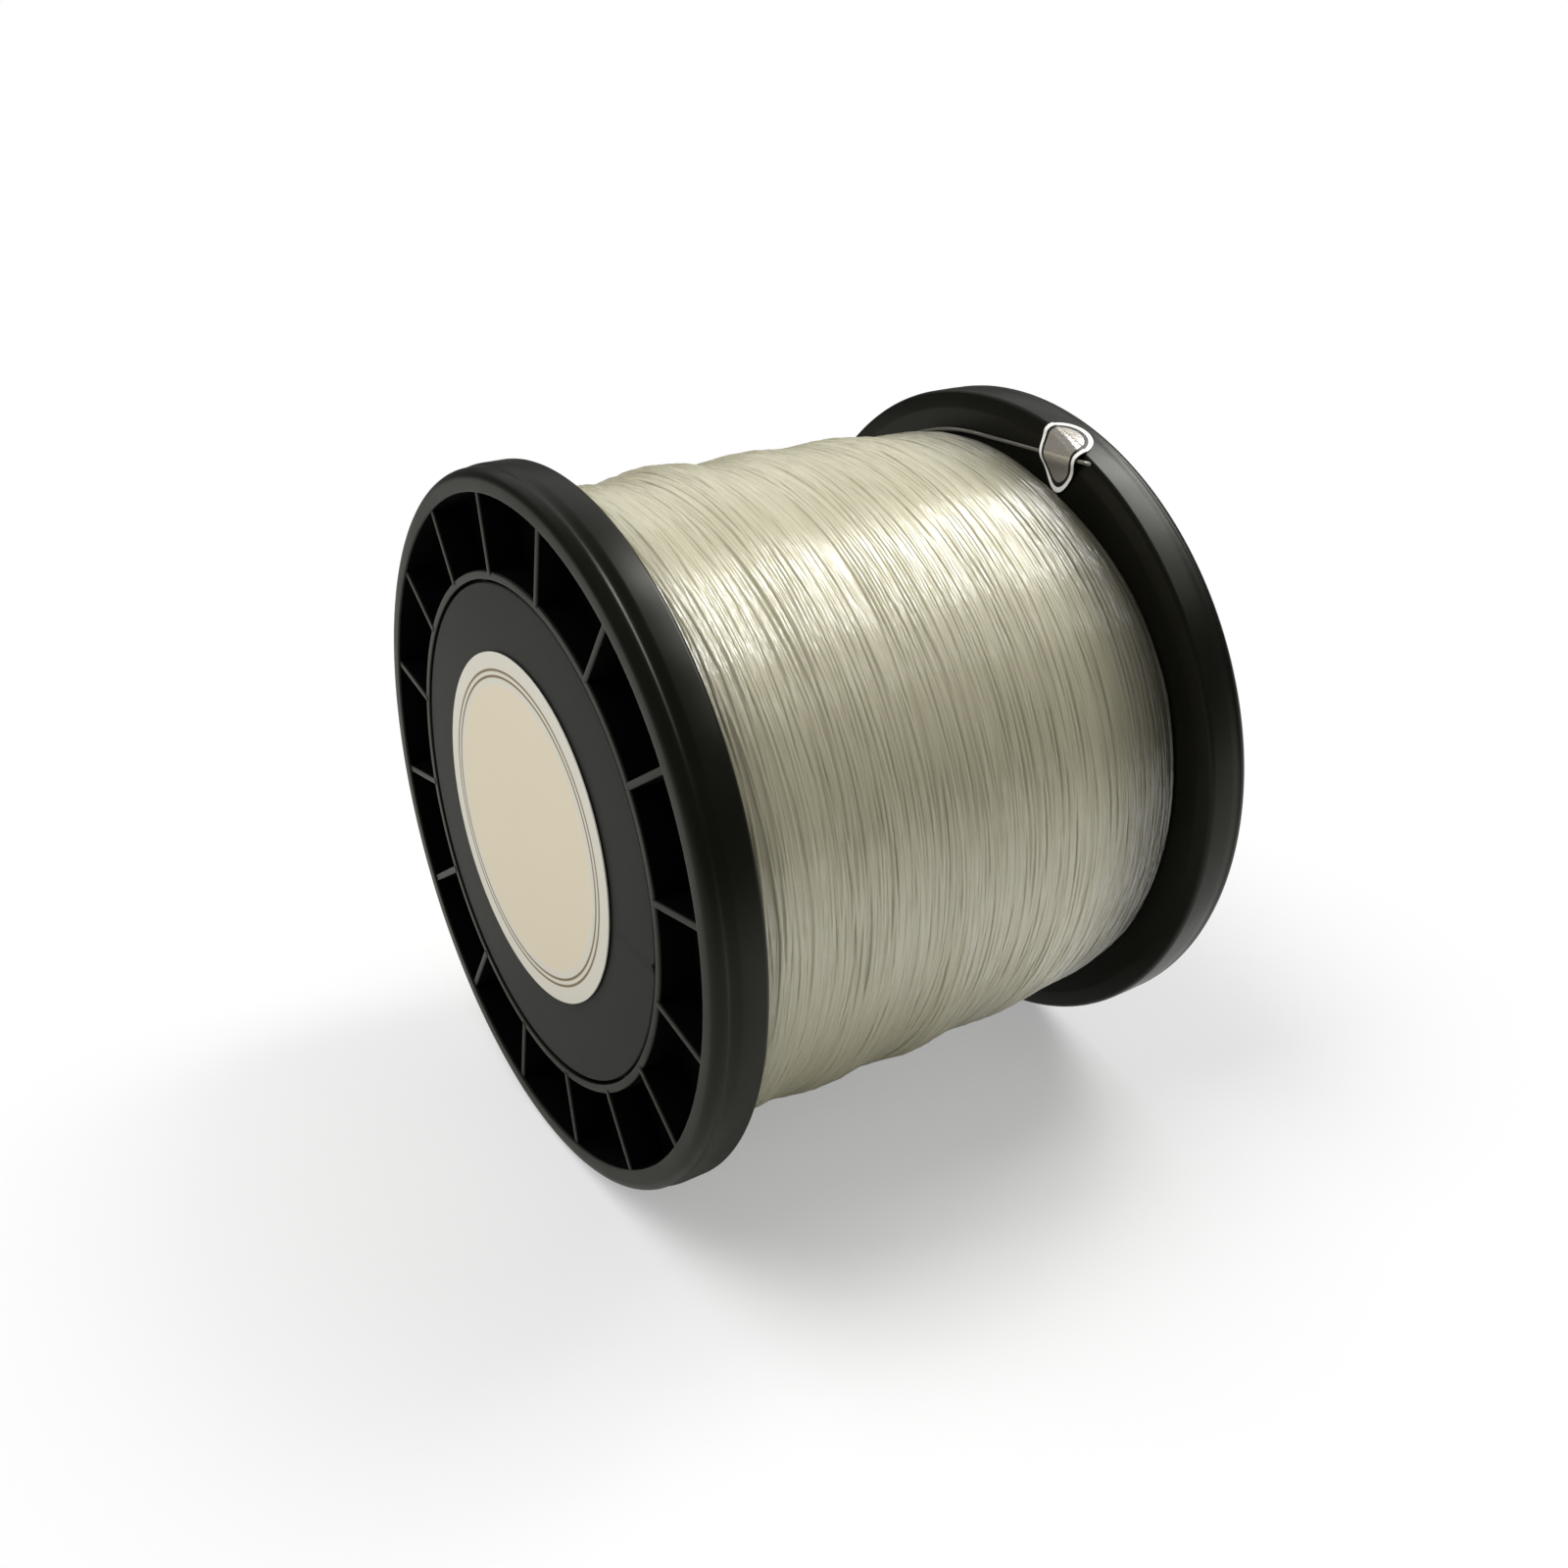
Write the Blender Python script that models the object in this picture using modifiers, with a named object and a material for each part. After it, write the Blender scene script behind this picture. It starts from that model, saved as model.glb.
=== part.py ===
# Fishing line spool: two moulded flanges on a barrel, an end plate in each flange,
# a spindle tube between the plates, the wound line with its taped end, and a label.
# Metres, +Z up. The spool lies on its rims, its axis along X, its front towards -X.
# The origin is on the ground, halfway between the flanges.

from math import cos, exp, pi, radians, sin, sqrt

import bmesh
import bpy
from mathutils import Matrix, Vector

MM = 0.001

# Whole spool
SPOOL_WIDTH = 106.5 * MM
RIM_RADIUS = 62.5 * MM
CLEARANCE = 0.3 * MM              # between pieces that seat on each other

# Flange, measured inwards from its outer face
FLANGE_THICKNESS = 9.4 * MM
WEB_THICKNESS = 2.8 * MM          # the disc that holds the line back
RIM_WALL = 4.3 * MM
RIM_EDGE_ROUND = 0.9 * MM         # edge towards the line
FACE_STEP_WIDTH = 1.9 * MM        # shallow step round the inner face, next to that edge
FACE_STEP_DROP = 0.5 * MM
LIP_STEP = 0.6 * MM               # the lip stands this far inside the crown
LIP_CHAMFER = 1.0 * MM
LIP_HEIGHT = 0.8 * MM
GROOVE_DEPTH = 1.6 * MM           # between lip and crown
GROOVE_POSITION = 2.5 * MM
CROWN_START = 4.8 * MM
RIB_COUNT = 16
RIB_THICKNESS = 1.3 * MM
RIB_DROP = 0.3 * MM               # ribs end this far below the lip's face
RIB_ROOT = 0.6 * MM               # how far a rib runs into the walls round it

# Hub of the flange, with the seat for the end plate and the spigot for the barrel
HUB_RING_WALL = 1.5 * MM
HUB_RING_DROP = 0.4 * MM
SEAT_LEDGE = 5.3 * MM
SPIGOT_WALL = 3.5 * MM
SPIGOT_LENGTH = 8.0 * MM
SPIGOT_TAPER = 0.8 * MM

# Barrel between the flanges
BARREL_RADIUS = 45.0 * MM
BARREL_WALL = 2.7 * MM

# End plates and the tube that takes the spindle
PLATE_THICKNESS = 2.7 * MM
PLATE_DROP = 0.6 * MM
PLATE_CHAMFER = 0.3 * MM
PLATE_NOTCH_WIDTH = 1.6 * MM
PLATE_NOTCH_DEPTH = 0.9 * MM
PLATE_NOTCH_ANGLE = radians(274)  # from straight down
BORE_RADIUS = 8.0 * MM
TUBE_WALL = 2.5 * MM
TUBE_SEAT_DEPTH = 1.2 * MM

# Paper label on the front plate
LABEL_RADIUS = 30.7 * MM
LABEL_THICKNESS = 0.3 * MM

# Wound line. One modelled turn stands for a few turns of line side by side.
WINDING_RADIUS = 56.5 * MM        # outside of the winding halfway along
FRONT_END_DROP = 1.2 * MM         # the winding falls off towards each flange
REAR_END_DROP = 2.4 * MM
RIPPLE_DEPTH = 0.3 * MM
RIPPLE_LENGTH = 19.0 * MM
TURN_DIAMETER = 3.3 * MM
TURN_COUNT = 22
TURN_START_ANGLE = radians(0)
DIVE_RADIUS = 2.4 * MM            # bend where an end turns down into the layer below
POINTS_PER_TURN = 24

# Loose end of the line, laid on the rear flange
LINE_DIAMETER = 0.8 * MM
TAIL_START_ANGLE = radians(38)
TAIL_LEAVES_ANGLE = radians(88)
TAIL_END_INSET = 0.4 * MM

# Foil sticker that holds the end, folded over the rear rim
STICKER_WIDTH = 8.6 * MM
STICKER_THICKNESS = 0.25 * MM
STICKER_ON_RIM = 5.6 * MM
STICKER_ANGLE = radians(110.5)
STICKER_TILT = radians(16)
STICKER_RIDGE_WIDTH = 2.2 * MM    # tent over the line under it
STICKER_GRID = 10

# Smoothness of round pieces
FLANGE_STEPS = 64
CORE_STEPS = 48
CORE_OUTLINE_STEPS = 8
BORE_STEPS = 32

AXIS_HEIGHT = RIM_RADIUS * cos(pi / FLANGE_STEPS)   # the rim rests on one facet
FACE_X = SPOOL_WIDTH / 2 - FLANGE_THICKNESS          # inner face of the rear flange


def clear_scene():
    for item in list(bpy.data.objects):
        bpy.data.objects.remove(item, do_unlink=True)


def collection(name):
    made = bpy.data.collections.new(name)
    bpy.context.scene.collection.children.link(made)
    return made


def material(name, colour, roughness, metallic=0.0):
    made = bpy.data.materials.new(name)
    made.use_nodes = True
    shader = made.node_tree.nodes["Principled BSDF"]
    shader.inputs["Base Color"].default_value = (*colour, 1.0)
    shader.inputs["Roughness"].default_value = roughness
    shader.inputs["Metallic"].default_value = metallic
    return made


def place(name, data, group, parent=None, turn=0.0):
    made = bpy.data.objects.new(name, data)
    group.objects.link(made)
    made.parent = parent
    made.rotation_euler.z = turn
    return made


def ring_outline(name, points):
    # A closed outline of (radius, height) points, down the outer side first.
    mesh = bpy.data.meshes.new(name)
    count = len(points)
    edges = [(i, (i + 1) % count) for i in range(count)]
    mesh.from_pydata([(r, 0.0, z) for r, z in points], edges, [])
    return mesh


def turned(name, points, steps, group, parent=None):
    # Half a step of turn puts a flat facet, not an edge, at the bottom.
    made = place(name, ring_outline(name, points), group, parent, pi / steps)
    screw = made.modifiers.new("Turn", "SCREW")
    screw.axis = "Z"
    screw.angle = 2 * pi
    screw.steps = steps
    screw.render_steps = steps
    screw.use_merge_vertices = True
    screw.merge_threshold = 0.00001
    screw.use_smooth_shade = True
    return made


def fixed_mesh(item):
    # The shape of an object with its modifiers applied.
    graph = bpy.context.evaluated_depsgraph_get()
    return bpy.data.meshes.new_from_object(item.evaluated_get(graph))


def boolean(item, operation, tool):
    cut = item.modifiers.new(operation.title(), "BOOLEAN")
    cut.operation = operation
    cut.solver = "EXACT"
    cut.object = tool


def hide_tool(tool):
    tool.hide_render = True
    tool.display_type = "WIRE"


def box_mesh(name, boxes):
    # boxes: (low corner, high corner, turn about Z)
    shape = bmesh.new()
    for low, high, turn in boxes:
        size = Vector(high) - Vector(low)
        centre = (Vector(high) + Vector(low)) / 2
        where = Matrix.Rotation(turn, 4, "Z") @ Matrix.Translation(centre)
        bmesh.ops.create_cube(shape, size=1.0, matrix=where @ Matrix.Diagonal((*size, 1.0)))
    mesh = bpy.data.meshes.new(name)
    shape.to_mesh(mesh)
    shape.free()
    return mesh


# ---- flanges ----

RIB_FLOOR = FLANGE_THICKNESS - WEB_THICKNESS
EDGE_RADIUS = RIM_RADIUS - RIM_EDGE_ROUND
POCKET_RADIUS = RIM_RADIUS - RIM_WALL
SPIGOT_RADIUS = BARREL_RADIUS - BARREL_WALL - CLEARANCE
SPIGOT_BORE = SPIGOT_RADIUS - SPIGOT_WALL
SEAT_RADIUS = SPIGOT_BORE + SEAT_LEDGE
SEAT_FLOOR = PLATE_DROP + PLATE_THICKNESS + CLEARANCE
HUB_RING_RADIUS = SEAT_RADIUS + HUB_RING_WALL


def arc(centre_r, centre_z, radius, start, end, count):
    points = []
    for i in range(count + 1):
        angle = start + (end - start) * i / count
        points.append((centre_r + radius * cos(angle), centre_z + radius * sin(angle)))
    return points


def flange_outline():
    # Heights are measured inwards from the outer face.
    top = FLANGE_THICKNESS
    rim_top = top - FACE_STEP_DROP
    step_radius = EDGE_RADIUS - FACE_STEP_WIDTH
    spigot_end = top + SPIGOT_LENGTH
    lip_radius = RIM_RADIUS - LIP_STEP
    groove_radius = RIM_RADIUS - GROOVE_DEPTH
    points = arc(EDGE_RADIUS, rim_top - RIM_EDGE_ROUND, RIM_EDGE_ROUND, pi / 2, 0, 3)
    rise = CROWN_START - GROOVE_POSITION
    for share in (1.0, 0.7, 0.35, 0.0):
        height = (1 - cos(pi * share)) / 2
        points.append((groove_radius + GROOVE_DEPTH * height, GROOVE_POSITION + rise * share))
    points += [
        (lip_radius, LIP_HEIGHT),
        (lip_radius - LIP_CHAMFER, 0.0),
        (POCKET_RADIUS, 0.0),
        (POCKET_RADIUS, RIB_FLOOR),
        (HUB_RING_RADIUS, RIB_FLOOR),
        (HUB_RING_RADIUS, HUB_RING_DROP),
        (SEAT_RADIUS, HUB_RING_DROP),
        (SEAT_RADIUS, SEAT_FLOOR),
        (SPIGOT_BORE, SEAT_FLOOR),
        (SPIGOT_BORE, spigot_end),
        (SPIGOT_RADIUS - SPIGOT_TAPER, spigot_end),
        (SPIGOT_RADIUS, spigot_end - SPIGOT_TAPER),
        (SPIGOT_RADIUS, top),
        (step_radius - FACE_STEP_DROP, top),
        (step_radius, rim_top),
    ]
    return points


def flange_ribs():
    # Thin radial walls between the hub ring and the rim, half a pitch off the axes.
    low_r = HUB_RING_RADIUS - RIB_ROOT
    high_r = POCKET_RADIUS + RIB_ROOT
    half = RIB_THICKNESS / 2
    boxes = []
    for i in range(RIB_COUNT):
        turn = 2 * pi * (i + 0.5) / RIB_COUNT
        boxes.append(((low_r, -half, RIB_DROP), (high_r, half, RIB_FLOOR + RIB_ROOT), turn))
    return box_mesh("flange_ribs", boxes)


def add_flanges(parts, tools, front, rear):
    plain = turned("flange_turned", flange_outline(), FLANGE_STEPS, tools)
    ribs = place("flange_rib_star", flange_ribs(), tools)
    boolean(plain, "UNION", ribs)
    mesh = fixed_mesh(plain)
    for tool in (plain, ribs):
        hide_tool(tool)
    mesh.name = "flange"
    mesh.shade_smooth()
    mesh.set_sharp_from_angle(angle=radians(30))
    mesh.materials.append(ABS_BLACK)
    turn = pi / FLANGE_STEPS
    place("front_flange", mesh, parts, front, turn)
    place("rear_flange", mesh, parts, rear, turn)


# ---- end plates, spindle tube, barrel ----

PLATE_RADIUS = SEAT_RADIUS - CLEARANCE
PLATE_BACK = PLATE_DROP + PLATE_THICKNESS
TUBE_RADIUS = BORE_RADIUS + TUBE_WALL


def plate_outline():
    seat_radius = TUBE_RADIUS + CLEARANCE
    return [
        (PLATE_RADIUS, PLATE_BACK),
        (PLATE_RADIUS, PLATE_DROP + PLATE_CHAMFER),
        (PLATE_RADIUS - PLATE_CHAMFER, PLATE_DROP),
        (BORE_RADIUS + PLATE_CHAMFER, PLATE_DROP),
        (BORE_RADIUS, PLATE_DROP + PLATE_CHAMFER),
        (BORE_RADIUS, PLATE_BACK - TUBE_SEAT_DEPTH),
        (seat_radius, PLATE_BACK - TUBE_SEAT_DEPTH),
        (seat_radius, PLATE_BACK),
    ]


def add_plates(parts, tools, front, rear):
    plain = turned("plate_turned", plate_outline(), FLANGE_STEPS, tools)
    # A small notch in the edge, where the plate is levered out.
    low = (PLATE_RADIUS - PLATE_NOTCH_DEPTH, -PLATE_NOTCH_WIDTH / 2, PLATE_DROP - CLEARANCE)
    high = (SEAT_RADIUS, PLATE_NOTCH_WIDTH / 2, PLATE_BACK + CLEARANCE)
    notch = place("plate_notch", box_mesh("plate_notch", [(low, high, PLATE_NOTCH_ANGLE)]), tools)
    boolean(plain, "DIFFERENCE", notch)
    mesh = fixed_mesh(plain)
    for tool in (plain, notch):
        hide_tool(tool)
    mesh.name = "end_plate"
    mesh.shade_smooth()
    mesh.set_sharp_from_angle(angle=radians(30))
    mesh.materials.append(ABS_SATIN)
    turn = pi / FLANGE_STEPS
    place("front_end_plate", mesh, parts, front, turn)
    place("rear_end_plate", mesh, parts, rear, turn)


def sleeve_outline(outer, inner, half_length):
    return [(outer, half_length), (outer, -half_length), (inner, -half_length), (inner, half_length)]


def add_tube_and_barrel(parts, axis):
    seat = PLATE_BACK - TUBE_SEAT_DEPTH + CLEARANCE
    half_tube = SPOOL_WIDTH / 2 - seat
    outline = sleeve_outline(TUBE_RADIUS, BORE_RADIUS, half_tube)
    tube = turned("spindle_tube", outline, BORE_STEPS, parts, axis)
    tube.data.materials.append(ABS_BLACK)
    half_barrel = FACE_X - CLEARANCE
    outline = sleeve_outline(BARREL_RADIUS, BARREL_RADIUS - BARREL_WALL, half_barrel)
    barrel = turned("barrel", outline, CORE_STEPS, parts, axis)
    barrel.data.materials.append(ABS_BLACK)


def add_label(parts, front):
    # Glued over the front plate and its bore.
    shape = bmesh.new()
    top = PLATE_DROP - CLEARANCE
    where = Matrix.Translation((0, 0, top - LABEL_THICKNESS / 2))
    bmesh.ops.create_cone(
        shape, cap_ends=True, segments=FLANGE_STEPS, radius1=LABEL_RADIUS,
        radius2=LABEL_RADIUS, depth=LABEL_THICKNESS, matrix=where)
    mesh = bpy.data.meshes.new("front_label")
    shape.to_mesh(mesh)
    shape.free()
    mesh.materials.append(PAPER)
    place("front_label", mesh, parts, front)


# ---- the wound line ----

WINDING_HALF = FACE_X - CLEARANCE
FIRST_TURN_X = -(WINDING_HALF - TURN_DIAMETER / 2)
LAST_TURN_X = -FIRST_TURN_X
TURN_PITCH = (LAST_TURN_X - FIRST_TURN_X) / TURN_COUNT


def winding_radius(x):
    # Outside of the winding: full in the middle, lower at the flanges, with slow ripples.
    share = x / FACE_X
    drop = REAR_END_DROP if share > 0 else FRONT_END_DROP
    return WINDING_RADIUS - drop * abs(share) ** 3 + RIPPLE_DEPTH * cos(2 * pi * x / RIPPLE_LENGTH)


def turn_radius(x):
    return winding_radius(x) - TURN_DIAMETER / 2


def on_axis(x, radius, angle):
    # A point round the spool's axis, in world coordinates. Angle 0 is +Y, 90 degrees is up.
    return Vector((x, radius * cos(angle), AXIS_HEIGHT + radius * sin(angle)))


def dive_depth():
    return DIVE_RADIUS + TURN_DIAMETER


def dive_points(x, angle, way):
    # The end bends down square to the axis, then runs straight for one diameter.
    centre = turn_radius(x)
    base = on_axis(x, centre, angle)
    inward = (on_axis(x, 0.0, angle) - base).normalized()
    along = Vector((0, -sin(angle), cos(angle))) * way
    points = []
    for i in range(1, 4):
        bend = pi / 2 * i / 3
        points.append(base + along * DIVE_RADIUS * sin(bend) + inward * DIVE_RADIUS * (1 - cos(bend)))
    points.append(points[-1] + inward * TURN_DIAMETER)
    return points


def winding_points():
    start = TURN_START_ANGLE
    count = TURN_COUNT * POINTS_PER_TURN
    points = []
    for i in range(count + 1):
        x = FIRST_TURN_X + TURN_PITCH * i / POINTS_PER_TURN
        points.append(on_axis(x, turn_radius(x), start + 2 * pi * i / POINTS_PER_TURN))
    first = dive_points(FIRST_TURN_X, start, -1)
    last = dive_points(LAST_TURN_X, start + 2 * pi * TURN_COUNT, 1)
    return first[::-1] + points + last


def segment_gap(a, b, c, d):
    # Shortest distance between two pieces of centre line, tried at five points of each.
    best = 1.0
    for i in range(5):
        p = a.lerp(b, i / 4)
        share = (p - c).dot(d - c) / (d - c).length_squared
        best = min(best, (p - c.lerp(d, min(1.0, max(0.0, share)))).length)
    return best


def report_least_gap(points):
    # Each stretch is measured against those at least half a turn further on, up to two turns.
    least = 1.0
    stretch = POINTS_PER_TURN // 2
    for i in range(len(points) - 1):
        for j in range(i + stretch, min(i + 2 * POINTS_PER_TURN + stretch, len(points) - 1)):
            if (points[i] - points[j]).length < 3 * TURN_DIAMETER:
                least = min(least, segment_gap(points[i], points[i + 1], points[j], points[j + 1]))
    print("least gap of the wound line to itself: %.2f mm" % ((least - TURN_DIAMETER) / MM))


def tube(name, points, diameter, group, finish):
    curve = bpy.data.curves.new(name, "CURVE")
    curve.dimensions = "3D"
    curve.bevel_depth = diameter / 2
    curve.bevel_resolution = 1
    curve.use_fill_caps = True
    spline = curve.splines.new("POLY")
    spline.points.add(len(points) - 1)
    for point, place_at in zip(spline.points, points):
        point.co = (*place_at, 1.0)
    curve.materials.append(finish)
    made = bpy.data.objects.new(name, curve)
    group.objects.link(made)
    return made


def core_radius(x):
    # Just under the turns, whose straight stretches cut in below their corner points.
    return turn_radius(x) * cos(pi / POINTS_PER_TURN) - TURN_DIAMETER / 2 - CLEARANCE


def core_outline():
    # The plain body of line below the outer layer, lower at both ends where the outer layer dives.
    shoulder = TURN_DIAMETER + 3 * CLEARANCE
    inner = BARREL_RADIUS + CLEARANCE
    rear_x = WINDING_HALF
    front_x = -WINDING_HALF
    rear_low = turn_radius(LAST_TURN_X) - dive_depth() - CLEARANCE
    front_low = turn_radius(FIRST_TURN_X) - dive_depth() - CLEARANCE
    points = [(rear_low, rear_x), (rear_low, rear_x - shoulder)]
    for i in range(CORE_OUTLINE_STEPS + 1):
        x = rear_x - shoulder + (front_x - rear_x + 2 * shoulder) * i / CORE_OUTLINE_STEPS
        points.append((core_radius(x), x))
    points += [(front_low, front_x + shoulder), (front_low, front_x), (inner, front_x), (inner, rear_x)]
    return points


def add_winding(parts, axis):
    core = turned("line_core", core_outline(), CORE_STEPS, parts, axis)
    core.data.materials.append(NYLON)
    points = winding_points()
    report_least_gap(points)
    tube("line_outer_layer", points, TURN_DIAMETER, parts, NYLON)


# ---- the loose end and its sticker ----

TAIL_X = FACE_X - CLEARANCE - LINE_DIAMETER / 2
TAIL_RADIUS = winding_radius(LAST_TURN_X) + CLEARANCE + LINE_DIAMETER / 2


def tail_points():
    # Round the top of the winding, then straight to the rim.
    points = []
    steps = 8
    for i in range(steps + 1):
        angle = TAIL_START_ANGLE + (TAIL_LEAVES_ANGLE - TAIL_START_ANGLE) * i / steps
        points.append(on_axis(TAIL_X, TAIL_RADIUS, angle))
    end_radius = EDGE_RADIUS - TAIL_END_INSET
    length = sqrt(end_radius ** 2 - TAIL_RADIUS ** 2)
    along = Vector((0, -sin(TAIL_LEAVES_ANGLE), cos(TAIL_LEAVES_ANGLE)))
    straight = 6
    for i in range(1, straight + 1):
        points.append(points[steps] + along * length * i / straight)
    return points


def line_under(point):
    # Distance in the flange's plane from the straight stretch of the loose end.
    direction = Vector((-sin(TAIL_LEAVES_ANGLE), cos(TAIL_LEAVES_ANGLE)))
    leaves = Vector((cos(TAIL_LEAVES_ANGLE), sin(TAIL_LEAVES_ANGLE))) * TAIL_RADIUS
    off = Vector((point[0], point[1])) - leaves
    return abs(off.x * direction.y - off.y * direction.x)


def sticker_point(across, out):
    # across: along the rim. out: from the flange's face (negative) over the edge onto the rim.
    angle = STICKER_ANGLE + across / EDGE_RADIUS
    quarter = (RIM_EDGE_ROUND + CLEARANCE) * pi / 2
    lift = 0.0
    if out < quarter:
        radius = EDGE_RADIUS + min(out, 0.0)
        near = line_under((radius * cos(angle), radius * sin(angle)))
        lift = (LINE_DIAMETER + CLEARANCE) * exp(-((near / STICKER_RIDGE_WIDTH) ** 2))
    if out <= 0:
        return on_axis(FACE_X - CLEARANCE - lift, EDGE_RADIUS + out, angle)
    fold_x = FACE_X + FACE_STEP_DROP + RIM_EDGE_ROUND
    if out < quarter:
        bend = out / (RIM_EDGE_ROUND + CLEARANCE)
        reach = fold_x - FACE_X + CLEARANCE + lift
        rise = (RIM_EDGE_ROUND + CLEARANCE) * sin(bend)
        return on_axis(fold_x - reach * cos(bend), EDGE_RADIUS + rise, angle)
    return on_axis(fold_x + out - quarter, RIM_RADIUS + CLEARANCE, angle)


def add_sticker(parts):
    # An oval of foil: a square grid drawn out to an oval, tilted, and folded over the edge.
    low = TAIL_RADIUS + CLEARANCE - EDGE_RADIUS
    high = STICKER_ON_RIM + (RIM_EDGE_ROUND + CLEARANCE) * pi / 2
    half_width = STICKER_WIDTH / 2
    middle = (low + high) / 2
    reach = (high - low) / 2
    half_length = sqrt(reach ** 2 - (half_width * sin(STICKER_TILT)) ** 2) / cos(STICKER_TILT)
    bpy.ops.mesh.primitive_grid_add(x_subdivisions=STICKER_GRID, y_subdivisions=STICKER_GRID, size=2.0)
    made = bpy.context.object
    made.name = "end_sticker"
    for other in made.users_collection:
        other.objects.unlink(made)
    parts.objects.link(made)
    for vertex in made.data.vertices:
        u, v = vertex.co.x, vertex.co.y
        a = u * sqrt(1 - v * v / 2) * half_width
        b = v * sqrt(1 - u * u / 2) * half_length
        across = a * cos(STICKER_TILT) - b * sin(STICKER_TILT)
        out = middle + a * sin(STICKER_TILT) + b * cos(STICKER_TILT)
        vertex.co = sticker_point(across, out)
    skin = made.modifiers.new("Thickness", "SOLIDIFY")
    skin.thickness = STICKER_THICKNESS
    skin.offset = 1.0
    made.data.materials.append(FOIL)


def add_tail(parts):
    tube("line_tail", tail_points(), LINE_DIAMETER, parts, NYLON)


clear_scene()
ABS_BLACK = material("abs_black", (0.012, 0.012, 0.012), 0.35)
ABS_SATIN = material("abs_satin", (0.045, 0.045, 0.044), 0.5)
NYLON = material("nylon_line", (0.66, 0.62, 0.48), 0.2)
PAPER = material("label_paper", (0.72, 0.64, 0.50), 0.6)
FOIL = material("sticker_foil", (0.75, 0.75, 0.72), 0.25, 0.9)

spool = collection("fishing_line_spool")
cutters = collection("cutters")

# The spool's own axis is local Z. Its front end empty sits on the front face, looking in.
centre_axis = place("spool_axis", None, spool)
centre_axis.location = (0, 0, AXIS_HEIGHT)
centre_axis.rotation_euler = (0, pi / 2, 0)
front_end = place("front_end", None, spool)
front_end.location = (-SPOOL_WIDTH / 2, 0, AXIS_HEIGHT)
front_end.rotation_euler = (0, pi / 2, 0)
rear_end = place("rear_end", None, spool)
rear_end.location = (SPOOL_WIDTH / 2, 0, AXIS_HEIGHT)
rear_end.rotation_euler = (0, -pi / 2, 0)

add_flanges(spool, cutters, front_end, rear_end)
add_plates(spool, cutters, front_end, rear_end)
add_tube_and_barrel(spool, centre_axis)
add_label(spool, front_end)
add_winding(spool, centre_axis)
add_tail(spool)
add_sticker(spool)
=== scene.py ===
import math

import bmesh
import bpy
import numpy as np
from mathutils import Matrix, Quaternion, Vector


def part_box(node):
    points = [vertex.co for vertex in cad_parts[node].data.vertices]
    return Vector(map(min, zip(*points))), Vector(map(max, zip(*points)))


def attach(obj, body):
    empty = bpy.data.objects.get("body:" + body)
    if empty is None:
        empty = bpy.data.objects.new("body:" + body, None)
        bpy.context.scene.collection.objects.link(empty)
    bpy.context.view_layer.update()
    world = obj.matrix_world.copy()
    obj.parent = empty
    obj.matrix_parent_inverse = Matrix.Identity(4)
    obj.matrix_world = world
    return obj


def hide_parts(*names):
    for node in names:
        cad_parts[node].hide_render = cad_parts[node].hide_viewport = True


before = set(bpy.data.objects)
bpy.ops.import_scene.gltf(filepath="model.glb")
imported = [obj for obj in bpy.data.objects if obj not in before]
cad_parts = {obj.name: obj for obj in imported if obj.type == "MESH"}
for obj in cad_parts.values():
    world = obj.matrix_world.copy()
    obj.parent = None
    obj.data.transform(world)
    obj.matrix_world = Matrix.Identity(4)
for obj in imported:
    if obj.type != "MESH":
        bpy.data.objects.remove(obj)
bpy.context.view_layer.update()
flangeLow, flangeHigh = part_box("front_flange")
mm = 0.001
axisHeight = (flangeLow.z + flangeHigh.z) / 2 / mm

# Sizes that several pieces share, in millimetres
spool = {
    "width": 106.5,
    "rimRadius": 62.5,
    "flangeThickness": 9.4,
    "clearance": 0.3,
    "edgeRound": 0.9,        # rim's edge towards the line
    "faceStep": 0.5,         # the inner face falls this much towards that edge
    "seatRadius": 43.8,      # the end plates sit in this
    "seatFloor": 3.6,
    "hubRingRadius": 45.3,
    "pocketRadius": 58.2,
    "pocketFloor": 6.6,
    "spigotBore": 38.5,
    "boreRadius": 8.0,
    "plateDrop": 0.6,
    "plateThickness": 2.7,
    "windingRadius": 56.5,   # outside of the wound line, halfway along
    "lineDiameter": 0.8,
}
faceX = spool["width"] / 2 - spool["flangeThickness"]
edgeRadius = spool["rimRadius"] - spool["edgeRound"]
print("frame loaded, axis at %.2f mm" % axisHeight)


def toLinear(hexColour):
    # The sRGB formula
    parts = [int(hexColour[i:i + 2], 16) / 255 for i in (1, 3, 5)]
    return tuple(c / 12.92 if c <= 0.04045 else ((c + 0.055) / 1.055) ** 2.4 for c in parts) + (1.0,)


def setInputs(tree, node, inputs):
    # A socket is linked and anything else is set as the value
    for name, value in inputs.items():
        if isinstance(value, bpy.types.NodeSocket):
            tree.links.new(value, node.inputs[name])
        else:
            node.inputs[name].default_value = value


def addNode(tree, kind, inputs, **settings):
    node = tree.nodes.new("ShaderNode" + kind)
    for name, value in settings.items():
        setattr(node, name, value)
    setInputs(tree, node, inputs)
    return node


def startMaterial(name):
    material = bpy.data.materials.new(name)
    material.use_nodes = True
    return material, material.node_tree, material.node_tree.nodes["Principled BSDF"]


def onAxis(x, radius, angle):
    # Millimetres to a point round the spool's axis. Angle 0 is +Y and a quarter turn is up.
    return Vector((x, radius * math.cos(angle), axisHeight + radius * math.sin(angle))) * mm


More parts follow.
